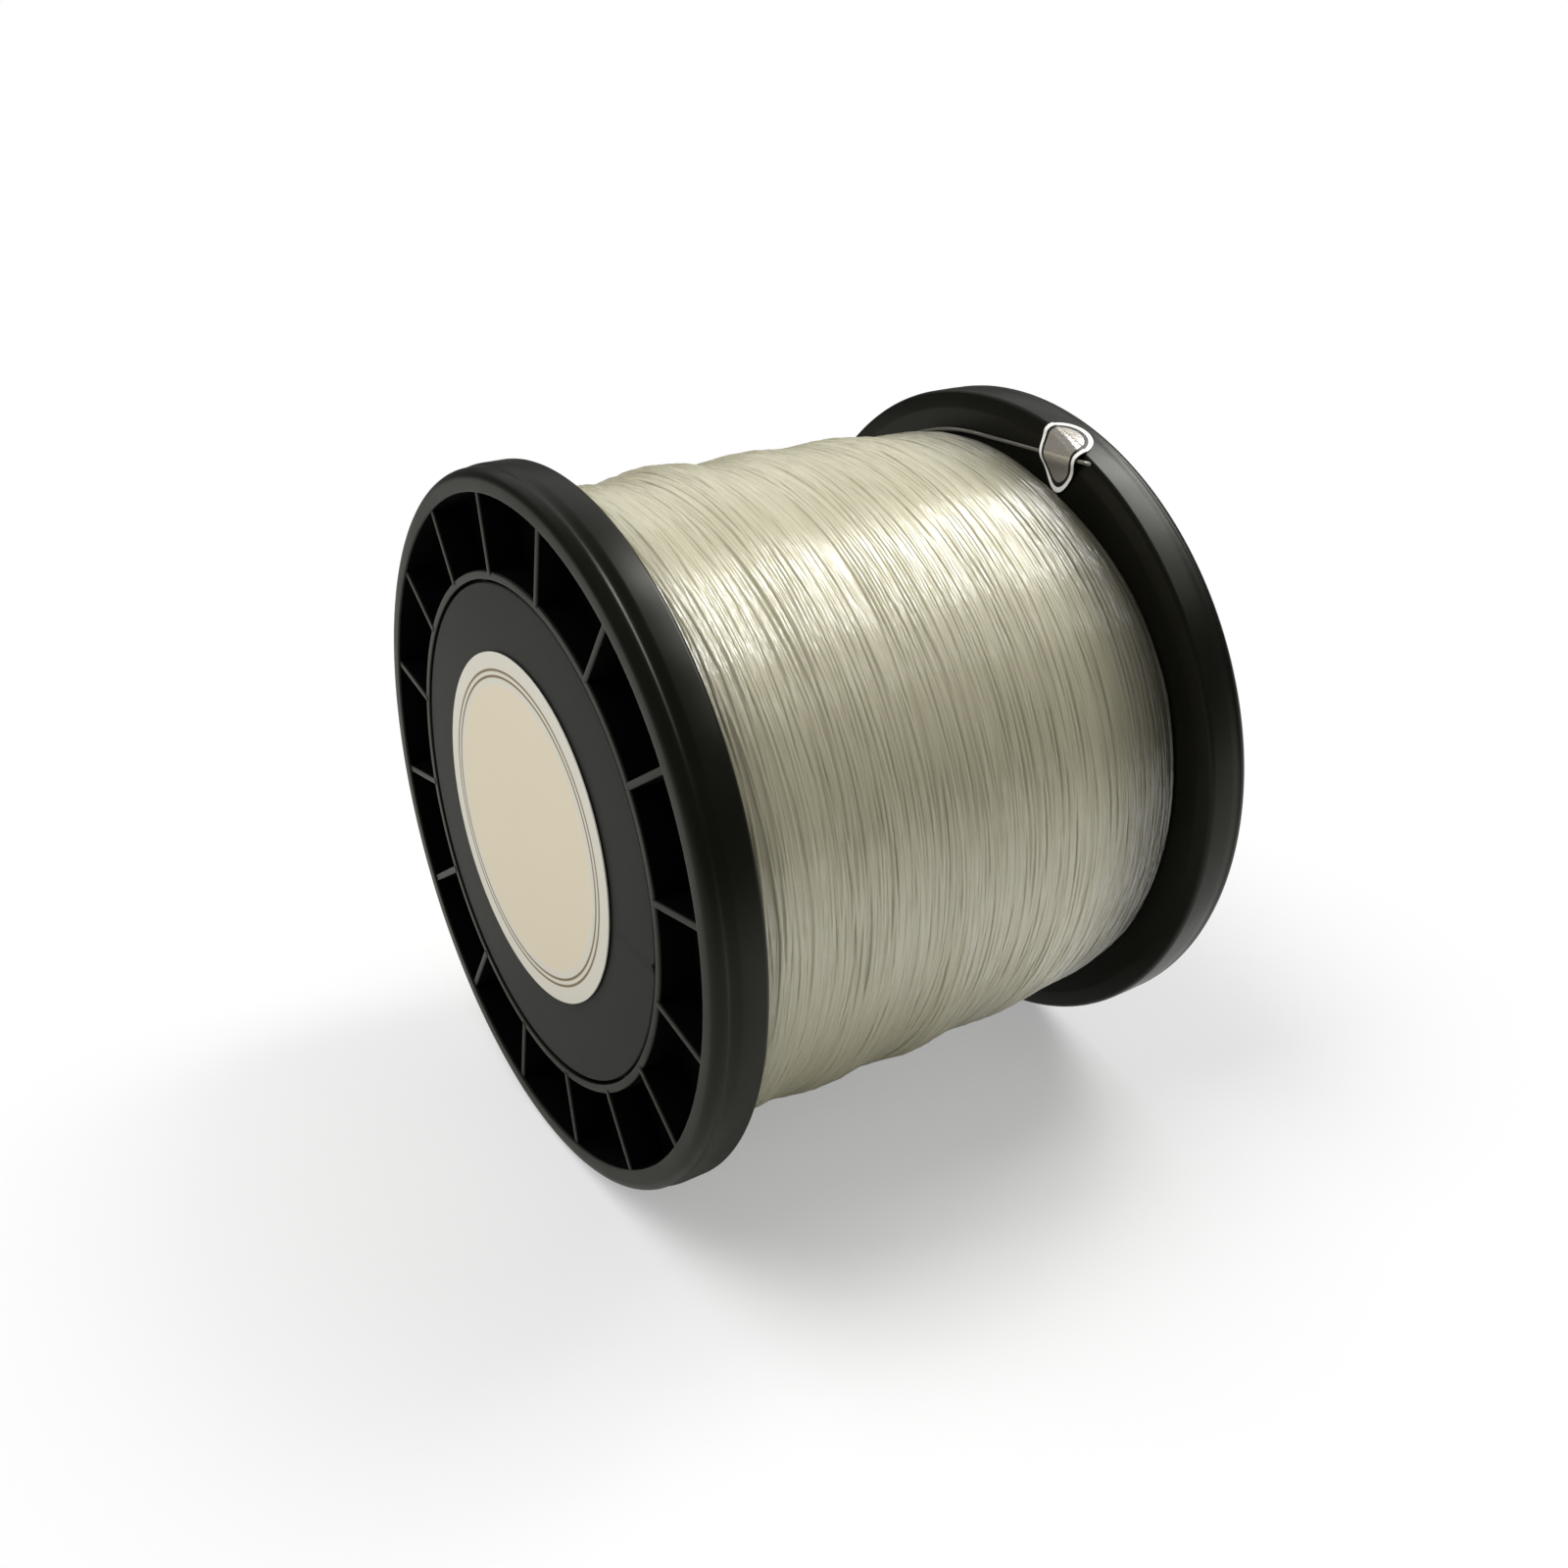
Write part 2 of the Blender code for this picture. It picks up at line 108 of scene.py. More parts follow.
def meshObject(name, shape, sharpAngle=35):
    bmesh.ops.recalc_face_normals(shape, faces=shape.faces)
    mesh = bpy.data.meshes.new(name)
    shape.to_mesh(mesh)
    shape.free()
    mesh.shade_smooth()
    mesh.set_sharp_from_angle(angle=math.radians(sharpAngle))
    made = bpy.data.objects.new(name, mesh)
    bpy.context.scene.collection.objects.link(made)
    return made


def filleted(corners, steps=5):
    # Each corner is (radius, depth, fillet). The outline is closed.
    points = []
    for i, (r, d, fillet) in enumerate(corners):
        here = Vector((r, d))
        if fillet == 0:
            points.append(here)
            continue
        before = (Vector(corners[i - 1][:2]) - here).normalized()
        after = (Vector(corners[(i + 1) % len(corners)][:2]) - here).normalized()
        half = before.angle(after) / 2
        centre = here + (before + after).normalized() * fillet / math.sin(half)
        first = here + before * fillet / math.tan(half) - centre
        last = here + after * fillet / math.tan(half) - centre
        start = math.atan2(first.y, first.x)
        sweep = math.remainder(math.atan2(last.y, last.x) - start, 2 * math.pi)
        for step in range(steps + 1):
            turn = start + sweep * step / steps
            points.append(centre + fillet * Vector((math.cos(turn), math.sin(turn))))
    return points


def turned(shape, outline, steps, end):
    # Revolves (radius, depth) pairs. end is -1 for the front face and 1 for the rear one.
    rings = []
    for step in range(steps):
        angle = 2 * math.pi * step / steps
        rings.append([
            shape.verts.new(onAxis(end * (spool["width"] / 2 - d), r, angle)) for r, d in outline])
    count = len(outline)
    for step in range(steps):
        here, after = rings[step], rings[(step + 1) % steps]
        for i in range(count):
            j = (i + 1) % count
            shape.faces.new((here[i], here[j], after[j], after[i]))


def keep(piece, slotName, nodes, *materials):
    # Every piece rides on the one body and stands for its CAD nodes
    for material in materials:
        piece.data.materials.append(material)
    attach(piece, "root")
    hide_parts(*nodes)
    return piece


# ABS, injection moulded, semi-gloss: black all through. A polished mould gives soft, wide
# reflections, and handling leaves faint smears on the rims that break them up.
absMoulded = {
    "colour": "#0c0c09",
    "smearColour": "#12110c",
    "tint": "#fffff0",       # the skin's reflections are faintly olive
    "roughness": (0.28, 0.37),
    "smearSize": 26.0,       # mm across a smear
    "smearRange": (0.35, 0.65),     # of the noise, from polished to handled
    "grainSize": 0.35,       # mm, drawn coarser than the real skin so that it shows
    "grainDepth": 0.0015,    # mm
}


def makeAbsMoulded():
    look = absMoulded
    material, tree, shader = startMaterial("absMouldedBlack")
    where = addNode(tree, "TexCoord", {}).outputs["Object"]
    smear = addNode(tree, "TexNoise", {
        "Vector": where, "Scale": 1 / (look["smearSize"] * mm), "Detail": 4.0, "Distortion": 1.2})
    mix = addNode(tree, "Mix", {
        "Factor": smear.outputs["Fac"], 6: toLinear(look["colour"]), 7: toLinear(look["smearColour"])},
        data_type="RGBA")
    rough = addNode(tree, "MapRange", {
        "Value": smear.outputs["Fac"],
        "From Min": look["smearRange"][0], "From Max": look["smearRange"][1],
        "To Min": look["roughness"][0], "To Max": look["roughness"][1]})
    grain = addNode(tree, "TexNoise", {
        "Vector": where, "Scale": 1 / (look["grainSize"] * mm), "Detail": 2.0})
    bump = addNode(tree, "Bump", {
        "Height": grain.outputs["Fac"], "Distance": look["grainDepth"] * mm, "Strength": 1.0})
    setInputs(tree, shader, {
        "Base Color": mix.outputs[2], "Roughness": rough.outputs["Result"],
        "Normal": bump.outputs["Normal"], "IOR": 1.54, "Specular IOR Level": 0.23,
        "Specular Tint": toLinear(look["tint"])})
    return material


# ABS in the pockets, near black and dull: painted shade for the deep pockets, darker and less glossy than
# the moulded skin elsewhere.
pocketShade = {
    "colour": "#030303",
    "roughness": 0.85,
    "specular": 0.08,
    "grainSize": 0.6,        # mm
    "grainDepth": 0.01,      # mm
}


def makePocketShade():
    look = pocketShade
    material, tree, shader = startMaterial("absPocketShade")
    where = addNode(tree, "TexCoord", {}).outputs["Object"]
    grain = addNode(tree, "TexNoise", {
        "Vector": where, "Scale": 1 / (look["grainSize"] * mm), "Detail": 3.0})
    bump = addNode(tree, "Bump", {
        "Height": grain.outputs["Fac"], "Distance": look["grainDepth"] * mm, "Strength": 1.0})
    setInputs(tree, shader, {
        "Base Color": toLinear(look["colour"]), "Roughness": look["roughness"],
        "Specular IOR Level": look["specular"], "Normal": bump.outputs["Normal"]})
    return material


# ABS, moulded with a satin skin: the plates' flat faces are finely spark-eroded, so they are
# dark grey and even, with no clear reflection.
absSatin = {
    "colour": ("#262625", "#2b2b29"),
    "roughness": 0.55,
    "cloudSize": 30.0,       # mm
    "grainSize": 0.3,        # mm, drawn coarser than the real skin so that it shows
    "grainDepth": 0.008,     # mm
}


def makeAbsSatin():
    look = absSatin
    material, tree, shader = startMaterial("absMouldedSatin")
    where = addNode(tree, "TexCoord", {}).outputs["Object"]
    cloud = addNode(tree, "TexNoise", {
        "Vector": where, "Scale": 1 / (look["cloudSize"] * mm), "Detail": 3.0})
    mix = addNode(tree, "Mix", {
        "Factor": cloud.outputs["Fac"], 6: toLinear(look["colour"][0]), 7: toLinear(look["colour"][1])},
        data_type="RGBA")
    grain = addNode(tree, "TexNoise", {
        "Vector": where, "Scale": 1 / (look["grainSize"] * mm), "Detail": 2.0})
    bump = addNode(tree, "Bump", {
        "Height": grain.outputs["Fac"], "Distance": look["grainDepth"] * mm, "Strength": 1.0})
    setInputs(tree, shader, {
        "Base Color": mix.outputs[2], "Roughness": look["roughness"],
        "Normal": bump.outputs["Normal"], "IOR": 1.54, "Specular IOR Level": 0.2})
    return material


# Nylon monofilament, drawn: clear line on a full spool lets light in and scatters it between
# the turns. So the body of colour follows the whole winding's shape, a pale champagne, while
# sharp glints follow the strands. Many clear layers together mirror more than one surface
# does, hence some metal and a coat of high IOR.
nylonLine = {
    "colour": ("#c6c0a2", "#dad4b6"),
    "toneRange": (0.4, 1.6),    # of the strand's tone and the streaks together
    "roughness": 0.42,       # wide along the spool, and narrower round it by anisotropy
    "metal": 0.13,
    "spread": 0.72,          # how far the scattered light follows the winding, not the strand
    "streakLength": 30.0,    # mm along the line
    "glint": (0.45, 8.0),    # mm along the spool and round it
    "glintDepth": 0.45,      # mm, how unevenly the clear skin lies
    # x in mm, share of the colour left: painted shade beside the flanges, deepest at the rear, for their
    # shadow on the line and their dark reflection in it.
    "ends": ((-43.5, 0.65), (-39.0, 0.88), (-34.0, 1.0), (-26.0, 1.0), (22.0, 1.0), (27.0, 0.86),
             (30.0, 0.7), (34.0, 0.46), (38.0, 0.29), (41.0, 0.19), (43.5, 0.13)),
}


def makeNylonLine():
    look = nylonLine
    material, tree, shader = startMaterial("nylonMonofilament")
    tone = addNode(tree, "Attribute", {}, attribute_name="strandTone").outputs["Fac"]
    where = addNode(tree, "TexCoord", {}).outputs["Object"]
    cloud = addNode(tree, "TexNoise", {
        "Vector": where, "Scale": 1 / (look["streakLength"] * mm), "Detail": 2.0})
    blend = addNode(tree, "Math", {0: tone, 1: cloud.outputs["Fac"]}, operation="ADD")
    share = addNode(tree, "MapRange", {
        "Value": blend.outputs[0],
        "From Min": look["toneRange"][0], "From Max": look["toneRange"][1]})
    mix = addNode(tree, "Mix", {
        "Factor": share.outputs["Result"], 6: toLinear(look["colour"][0]),
        7: toLinear(look["colour"][1])}, data_type="RGBA")
    # Painted shade, darker towards the flanges, by the share in ends
    centre = addNode(tree, "VectorMath", {0: where, 1: (0, 0, axisHeight * mm)}, operation="SUBTRACT")
    aside = addNode(tree, "SeparateXYZ", {"Vector": centre.outputs["Vector"]}).outputs["X"]
    first, last = look["ends"][0][0], look["ends"][-1][0]
    along = addNode(tree, "MapRange", {
        "Value": aside, "From Min": first * mm, "From Max": last * mm})
    shade = addNode(tree, "ValToRGB", {"Fac": along.outputs["Result"]})
    stops = shade.color_ramp.elements
    for place in look["ends"][1:-1]:
        stops.new((place[0] - first) / (last - first))
    for stop, (x, left) in zip(stops, look["ends"]):
        stop.color = (left, left, left, 1)
    mix = addNode(tree, "Mix", {
        "Factor": 1.0, 6: mix.outputs[2], 7: shade.outputs["Color"]},
        data_type="RGBA", blend_type="MULTIPLY")
    # The scattered light follows the winding as a whole
    flat = addNode(tree, "VectorMath", {0: centre.outputs["Vector"], 1: (0, 1, 1)}, operation="MULTIPLY")
    out = addNode(tree, "VectorMath", {0: flat.outputs["Vector"]}, operation="NORMALIZE")
    surface = addNode(tree, "NewGeometry", {}).outputs["Normal"]
    soft = addNode(tree, "Mix", {
        "Factor": look["spread"], 4: surface, 5: out.outputs["Vector"]}, data_type="VECTOR")
    even = addNode(tree, "VectorMath", {0: soft.outputs[1]}, operation="NORMALIZE")
    # Sharp glints, short and long, that follow the strands. The angle is measured from the far
    # side of the spool, so that its seam lies where the photograph doesn't look.
    away = addNode(tree, "VectorMath", {
        0: centre.outputs["Vector"], "Scale": -1.0}, operation="SCALE")
    behind = addNode(tree, "SeparateXYZ", {"Vector": away.outputs["Vector"]})
    around = addNode(tree, "Math", {
        0: behind.outputs["Z"], 1: behind.outputs["Y"]}, operation="ARCTAN2")
    across = addNode(tree, "Math", {
        0: aside, 1: 1 / (look["glint"][0] * mm)}, operation="MULTIPLY")
    lengthwise = addNode(tree, "Math", {
        0: around.outputs[0], 1: spool["windingRadius"] / look["glint"][1]}, operation="MULTIPLY")
    onSkin = addNode(tree, "CombineXYZ", {"X": across.outputs[0], "Y": lengthwise.outputs[0]})
    uneven = addNode(tree, "TexNoise", {"Vector": onSkin.outputs["Vector"], "Scale": 1.0, "Detail": 2.0})
    skin = addNode(tree, "Bump", {
        "Height": uneven.outputs["Fac"], "Distance": look["glintDepth"] * mm, "Strength": 1.0})
    setInputs(tree, shader, {
        "Base Color": mix.outputs[2], "Metallic": look["metal"], "Roughness": look["roughness"],
        "IOR": 1.53, "Specular IOR Level": 0.5, "Normal": even.outputs["Vector"], "Anisotropic": 0.7,
        "Tangent": addNode(tree, "CombineXYZ", {"X": 1.0}).outputs["Vector"],
        "Coat Weight": 1.0, "Coat Roughness": 0.05, "Coat IOR": 2.1,
        "Coat Normal": skin.outputs["Normal"]})
    return material


# Paper, printed and varnished: warm off-white stock with a slight sheen and a pair of thin
# bronze rings. The middle is bare.
labelPaper = {
    "border": "#dedacd",
    "middle": "#e6dac1",
    "ring": "#7d6744",
    "middleRadius": 25.0,    # mm
    "middleBlur": 0.4,       # mm to each side
    "rings": (26.5, 27.6),   # mm, radius of each printed ring
    "ringWidth": 0.42,       # mm
    "inkEdge": (0.4, 0.7),   # of that width, from full ink to none
    "offset": (1.1, 0.6),    # mm, it was stuck on a little off the middle
    "fibreSize": 0.6,        # mm
    "fibreDepth": 0.006,     # mm
    "roughness": 0.42,
}


def makeLabelPaper():
    look = labelPaper
    material, tree, shader = startMaterial("paperVarnished")
    where = addNode(tree, "TexCoord", {}).outputs["Object"]
    middle = (0, look["offset"][0] * mm, (axisHeight + look["offset"][1]) * mm)
    centre = addNode(tree, "VectorMath", {0: where, 1: middle}, operation="SUBTRACT")
    flat = addNode(tree, "VectorMath", {0: centre.outputs["Vector"], 1: (0, 1, 1)}, operation="MULTIPLY")
    radius = addNode(tree, "VectorMath", {0: flat.outputs["Vector"]}, operation="LENGTH").outputs["Value"]
    edge, blur = look["middleRadius"] * mm, look["middleBlur"] * mm
    inside = addNode(tree, "MapRange", {
        "Value": radius, "From Min": edge - blur, "From Max": edge + blur})
    colour = addNode(tree, "Mix", {
        "Factor": inside.outputs["Result"], 6: toLinear(look["middle"]), 7: toLinear(look["border"])},
        data_type="RGBA").outputs[2]
    for ringRadius in look["rings"]:
        off = addNode(tree, "Math", {0: radius, 1: ringRadius * mm}, operation="SUBTRACT")
        away = addNode(tree, "Math", {0: off.outputs[0]}, operation="ABSOLUTE")
        ink = addNode(tree, "MapRange", {
            "Value": away.outputs[0], "From Min": look["ringWidth"] * mm * look["inkEdge"][0],
            "From Max": look["ringWidth"] * mm * look["inkEdge"][1], "To Min": 1.0, "To Max": 0.0})
        colour = addNode(tree, "Mix", {
            "Factor": ink.outputs["Result"], 6: colour, 7: toLinear(look["ring"])},
            data_type="RGBA").outputs[2]
    fibre = addNode(tree, "TexNoise", {
        "Vector": where, "Scale": 1 / (look["fibreSize"] * mm), "Detail": 4.0})
    bump = addNode(tree, "Bump", {
        "Height": fibre.outputs["Fac"], "Distance": look["fibreDepth"] * mm, "Strength": 1.0})
    setInputs(tree, shader, {
        "Base Color": colour, "Roughness": look["roughness"], "Normal": bump.outputs["Normal"],
        "IOR": 1.5})
    return material


# Foil, stamped, with a printed edge: bright silver that turns warm and cool where it creases.
# A thin dark line runs inside its white edge.
stickerFoil = {
    "edge": "#f0efe8",
    "line": "#24211d",
    "silver": "#e2e0d6",
    "warm": "#cdb98a",
    "cool": "#b9b6c4",
    "edgeStart": 0.86,       # share of the oval's own radius
    "lineStart": 0.74,
    "creaseSize": 1.6,       # mm
    "creaseDepth": 0.06,     # mm
    "creaseTint": 0.45,      # share of warm and cool in the silver
    "metal": (0.75, 0.0),    # bare foil, print
    "roughness": (0.22, 0.4),
}


def makeStickerFoil():
    look = stickerFoil
    material, tree, shader = startMaterial("foilStamped")
    place = addNode(tree, "Attribute", {}, attribute_name="ovalPlace").outputs["Vector"]
    share = addNode(tree, "VectorMath", {0: place}, operation="LENGTH").outputs["Value"]
    where = addNode(tree, "TexCoord", {}).outputs["Object"]
    crease = addNode(tree, "TexNoise", {
        "Vector": where, "Scale": 1 / (look["creaseSize"] * mm), "Detail": 1.0, "Distortion": 0.8})
    tint = addNode(tree, "Mix", {
        "Factor": crease.outputs["Fac"], 6: toLinear(look["warm"]), 7: toLinear(look["cool"])},
        data_type="RGBA")
    silver = addNode(tree, "Mix", {
        "Factor": look["creaseTint"], 6: toLinear(look["silver"]), 7: tint.outputs[2]},
        data_type="RGBA")
    onLine = addNode(tree, "Math", {0: share, 1: look["lineStart"]}, operation="GREATER_THAN")
    onEdge = addNode(tree, "Math", {0: share, 1: look["edgeStart"]}, operation="GREATER_THAN")
    lined = addNode(tree, "Mix", {
        "Factor": onLine.outputs[0], 6: silver.outputs[2], 7: toLinear(look["line"])}, data_type="RGBA")
    edged = addNode(tree, "Mix", {
        "Factor": onEdge.outputs[0], 6: lined.outputs[2], 7: toLinear(look["edge"])}, data_type="RGBA")
    metal = addNode(tree, "MapRange", {
        "Value": onLine.outputs[0], "To Min": look["metal"][0], "To Max": look["metal"][1]})
    rough = addNode(tree, "MapRange", {
        "Value": onLine.outputs[0], "To Min": look["roughness"][0], "To Max": look["roughness"][1]})
    bump = addNode(tree, "Bump", {
        "Height": crease.outputs["Fac"], "Distance": look["creaseDepth"] * mm, "Strength": 0.6})
    setInputs(tree, shader, {
        "Base Color": edged.outputs[2], "Metallic": metal.outputs["Result"],
        "Roughness": rough.outputs["Result"], "Normal": bump.outputs["Normal"]})
    return material


mouldedBlack = makeAbsMoulded()
pocketShadeBlack = makePocketShade()
satinBlack = makeAbsSatin()
clearNylon = makeNylonLine()
varnishedPaper = makeLabelPaper()
stampedFoil = makeStickerFoil()
print("materials made")


# Flanges, in millimetres
flange = {
    "grooveDepth": (0.42, 0.12),    # front, rear
    "groovePosition": 2.4,
    "crownStart": 4.4,
    "riseSteps": 10,
    "lipDrop": (0.36, 0.06),        # the lip's crest under the rim, front and rear
    "lipRound": 1.9,
    "lipSteps": 8,
    "lipEdge": 0.35,         # fillet
    "pocketFillet": 0.5,
    "hubRingEdges": (0.3, 0.2),     # fillets, outer and inner
    "hubRingDrop": 0.4,
    "spigotRadius": 42.0,
    "spigotLength": 8.0,
    "spigotTaper": 0.8,
    "spigotFillet": 0.3,
    "spigotTip": 0.1,
    "stepWidth": 1.9,        # how far in the inner face starts to fall
    "stepFillet": 3.0,
    "ribCount": 16,
    "ribThickness": 1.3,
    "ribDrop": 0.3,
    "ribRoot": 0.6,
    "ribRound": 0.22,
    "ribRoundSteps": 3,
    # The painted pocket shade starts at this depth and reaches past the pocket's walls and floor by these
    # margins
    "shadeFrom": 0.75,        # depth where a pocket's skin turns dull
    "shadeMargins": (0.05, 0.1),     # past the pocket's walls and its floor
    "steps": 384,
}


def flangeOutline(end):
    thick = spool["flangeThickness"]
    rim = spool["rimRadius"]
    which = 0 if end < 0 else 1
    groove = rim - flange["grooveDepth"][which]
    rimTop = thick - spool["faceStep"]
    stepRadius = edgeRadius - flange["stepWidth"]
    spigot = flange["spigotRadius"]
    spigotEnd = thick + flange["spigotLength"]
    crest = rim - flange["lipDrop"][which]
    soft = flange["lipRound"]
    corners = [(rim, rimTop, spool["edgeRound"])]
    # The groove falls from the rim and rises to the lip, then the lip rounds over to the face
    lowest = flange["groovePosition"]
    for high, start in ((rim, flange["crownStart"]), (crest, soft)):
        slope = []
        for i in range(flange["riseSteps"] + 1):
            share = i / flange["riseSteps"]
            height = (1 + math.cos(math.pi * share)) / 2
            slope.append((groove + (high - groove) * height, start + (lowest - start) * share, 0))
        corners += slope if high == rim else slope[-2::-1]
    for i in range(1, flange["lipSteps"] + 1):
        bend = math.pi / 2 * i / flange["lipSteps"]
        corners.append((crest - soft + soft * math.cos(bend), soft - soft * math.sin(bend), 0))
    ringOuter, ringInner = flange["hubRingEdges"]
    corners += [
        (spool["pocketRadius"], 0.0, flange["lipEdge"]),
        (spool["pocketRadius"], spool["pocketFloor"], flange["pocketFillet"]),
        (spool["hubRingRadius"], spool["pocketFloor"], flange["pocketFillet"]),
        (spool["hubRingRadius"], flange["hubRingDrop"], ringOuter),
        (spool["seatRadius"], flange["hubRingDrop"], ringInner),
        (spool["seatRadius"], spool["seatFloor"], 0),
        (spool["spigotBore"], spool["seatFloor"], flange["spigotFillet"]),
        (spool["spigotBore"], spigotEnd, flange["spigotFillet"]),
        (spigot - flange["spigotTaper"], spigotEnd, flange["spigotTip"]),
        (spigot, spigotEnd - flange["spigotTaper"], flange["spigotTip"]),
        (spigot, thick, flange["spigotFillet"]),
        (stepRadius - spool["faceStep"], thick, flange["stepFillet"]),
    ]
    return filleted(corners)


def addRib(shape, end, angle):
    # A thin wall with a rounded free edge, run into the walls at both ends
    low = spool["hubRingRadius"] - flange["ribRoot"]
    high = spool["pocketRadius"] + flange["ribRoot"]
    deep = spool["pocketFloor"] + flange["ribRoot"]
    half = flange["ribThickness"] / 2
    soft = flange["ribRound"]
    steps = flange["ribRoundSteps"]
    section = []
    for side in (-1, 1):
        for step in range(steps + 1):
            bend = math.pi / 2 * (step if side < 0 else steps - step) / steps
            section.append((side * (half - soft + soft * math.cos(bend)),
                            flange["ribDrop"] + soft - soft * math.sin(bend)))
    section = [(-half, deep)] + section + [(half, deep)]
    ends = []
    for radius in (low, high):
        ring = []
        for aside, depth in section:
            turn = angle + math.atan2(aside, radius)
            ring.append(shape.verts.new(
                onAxis(end * (spool["width"] / 2 - depth), math.hypot(radius, aside), turn)))
        ends.append(ring)
    count = len(section)
    for i in range(count):
        j = (i + 1) % count
        shape.faces.new((ends[0][i], ends[0][j], ends[1][j], ends[1][i]))
    shape.faces.new(ends[0])
    shape.faces.new(list(reversed(ends[1])))


def paintPocketShade(piece, end):
    # The second material, the painted pocket shade, goes on what lies down inside the pockets
    wall, floor = flange["shadeMargins"]
    for face in piece.data.polygons:
        centre = face.center / mm
        radius = math.hypot(centre.y, centre.z - axisHeight)
        depth = spool["width"] / 2 - end * centre.x
        within = spool["hubRingRadius"] - wall < radius < spool["pocketRadius"] + wall
        if within and flange["shadeFrom"] < depth < spool["pocketFloor"] + floor:
            face.material_index = 1


def addFlange(name, node, end):
    shape = bmesh.new()
    turned(shape, flangeOutline(end), flange["steps"], end)
    for i in range(flange["ribCount"]):
        addRib(shape, end, 2 * math.pi * (i + 0.5) / flange["ribCount"])
    piece = meshObject(name, shape)
    keep(piece, "abs_black", [node], mouldedBlack, pocketShadeBlack)
    paintPocketShade(piece, end)


addFlange("front_flange_moulding", "front_flange", -1)
addFlange("rear_flange_moulding", "rear_flange", 1)
print("flanges made")


# End plates, spindle tube and barrel, in millimetres
plate = {
    "radius": 43.25,
    "edge": 0.3,             # fillets
    "backEdge": 0.1,
    "notchWidth": 1.6,
    "notchDepth": 0.9,
    "notchAngle": 184,       # degrees, from +Y by way of up on the front plate
    "tubeWall": 2.5,
    "tubeSeatDepth": 1.2,
    "steps": 256,
    "tubeSteps": 96,
}


def plateOutline():
    back = spool["plateDrop"] + spool["plateThickness"]
    seat = spool["boreRadius"] + plate["tubeWall"] + spool["clearance"]
    return filleted([
        (plate["radius"], back, plate["backEdge"]),
        (plate["radius"], spool["plateDrop"], plate["edge"]),
        (spool["boreRadius"], spool["plateDrop"], plate["edge"]),
        (spool["boreRadius"], back - plate["tubeSeatDepth"], 0),
        (seat, back - plate["tubeSeatDepth"], 0),
        (seat, back, plate["backEdge"]),
    ])


def cutNotch(piece, end):
    # A small notch in the edge, where the plate is levered out
    middle = math.radians(-plate["notchAngle"] * end)
    deepest = plate["radius"] - plate["notchDepth"]
    halfTurn = plate["notchWidth"] / 2 / plate["radius"]
    for vertex in piece.data.vertices:
        y, z = vertex.co.y / mm, vertex.co.z / mm - axisHeight
        radius = math.hypot(y, z)
        off = math.remainder(math.atan2(z, y) - middle, 2 * math.pi)
        if radius > deepest and abs(off) < halfTurn:
            pulled = deepest / radius
            vertex.co.y = y * pulled * mm
            vertex.co.z = (axisHeight + z * pulled) * mm


def addPlate(name, node, end):
    shape = bmesh.new()
    turned(shape, plateOutline(), plate["steps"], end)
    piece = meshObject(name, shape)
    cutNotch(piece, end)
    keep(piece, "abs_satin", [node], satinBlack)


def addTube():
    seat = spool["plateDrop"] + spool["plateThickness"] - plate["tubeSeatDepth"] + spool["clearance"]
    outer = spool["boreRadius"] + plate["tubeWall"]
    far = spool["width"] - seat
    corners = [(radius, depth, plate["backEdge"]) for radius, depth in (
        (outer, seat), (outer, far), (spool["boreRadius"], far), (spool["boreRadius"], seat))]
    shape = bmesh.new()
    turned(shape, filleted(corners), plate["tubeSteps"], -1)
    keep(meshObject("spindle_tube_bore", shape), "abs_black", ["spindle_tube"], mouldedBlack)


addPlate("front_plate_disc", "front_end_plate", -1)
addPlate("rear_plate_disc", "rear_end_plate", 1)
addTube()
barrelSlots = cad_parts["barrel"].data.materials
barrelSlots.clear()
barrelSlots.append(mouldedBlack)
print("plates and tube made")


# Label, in millimetres
label = {
    "radius": 30.7,
    "thickness": 0.3,
    "sag": 0.12,             # over the bore, where nothing backs the paper
    "curl": 0.05,            # its edge lifts a little
    "curlStart": 0.98,       # share of the radius
    "rings": 60,
    "steps": 192,
}


def addLabel():
    radii = [label["radius"] * (i + 1) / label["rings"] for i in range(label["rings"])]
    shape = bmesh.new()
    sides = []
    for back in (False, True):
        base = label["thickness"] if back else 0.0
        x = -spool["width"] / 2 + base
        middle = shape.verts.new(onAxis(x + label["sag"], 0, 0))
        rings = []
        for radius in radii:
            hollow = label["sag"] * max(0.0, 1 - (radius / spool["boreRadius"]) ** 2) ** 2
            curled = max(0.0, (radius / label["radius"] - label["curlStart"]) / (1 - label["curlStart"]))
            lift = label["curl"] * curled * (-1 if back else 1)
            rings.append([
                shape.verts.new(onAxis(x + hollow + lift, radius, 2 * math.pi * i / label["steps"]))
                for i in range(label["steps"])])
        for i in range(label["steps"]):
            j = (i + 1) % label["steps"]
            shape.faces.new((middle, rings[0][i], rings[0][j]))
            for inner, outer in zip(rings, rings[1:]):
                shape.faces.new((inner[i], outer[i], outer[j], inner[j]))
        sides.append(rings[-1])
    for i in range(label["steps"]):
        j = (i + 1) % label["steps"]
        shape.faces.new((sides[0][i], sides[1][i], sides[1][j], sides[0][j]))
    for vertex in shape.verts:
        vertex.co.yz += Vector(labelPaper["offset"]) * mm
    keep(meshObject("round_paper_label", shape), "label_paper", ["front_label"], varnishedPaper)


addLabel()
print("label made")


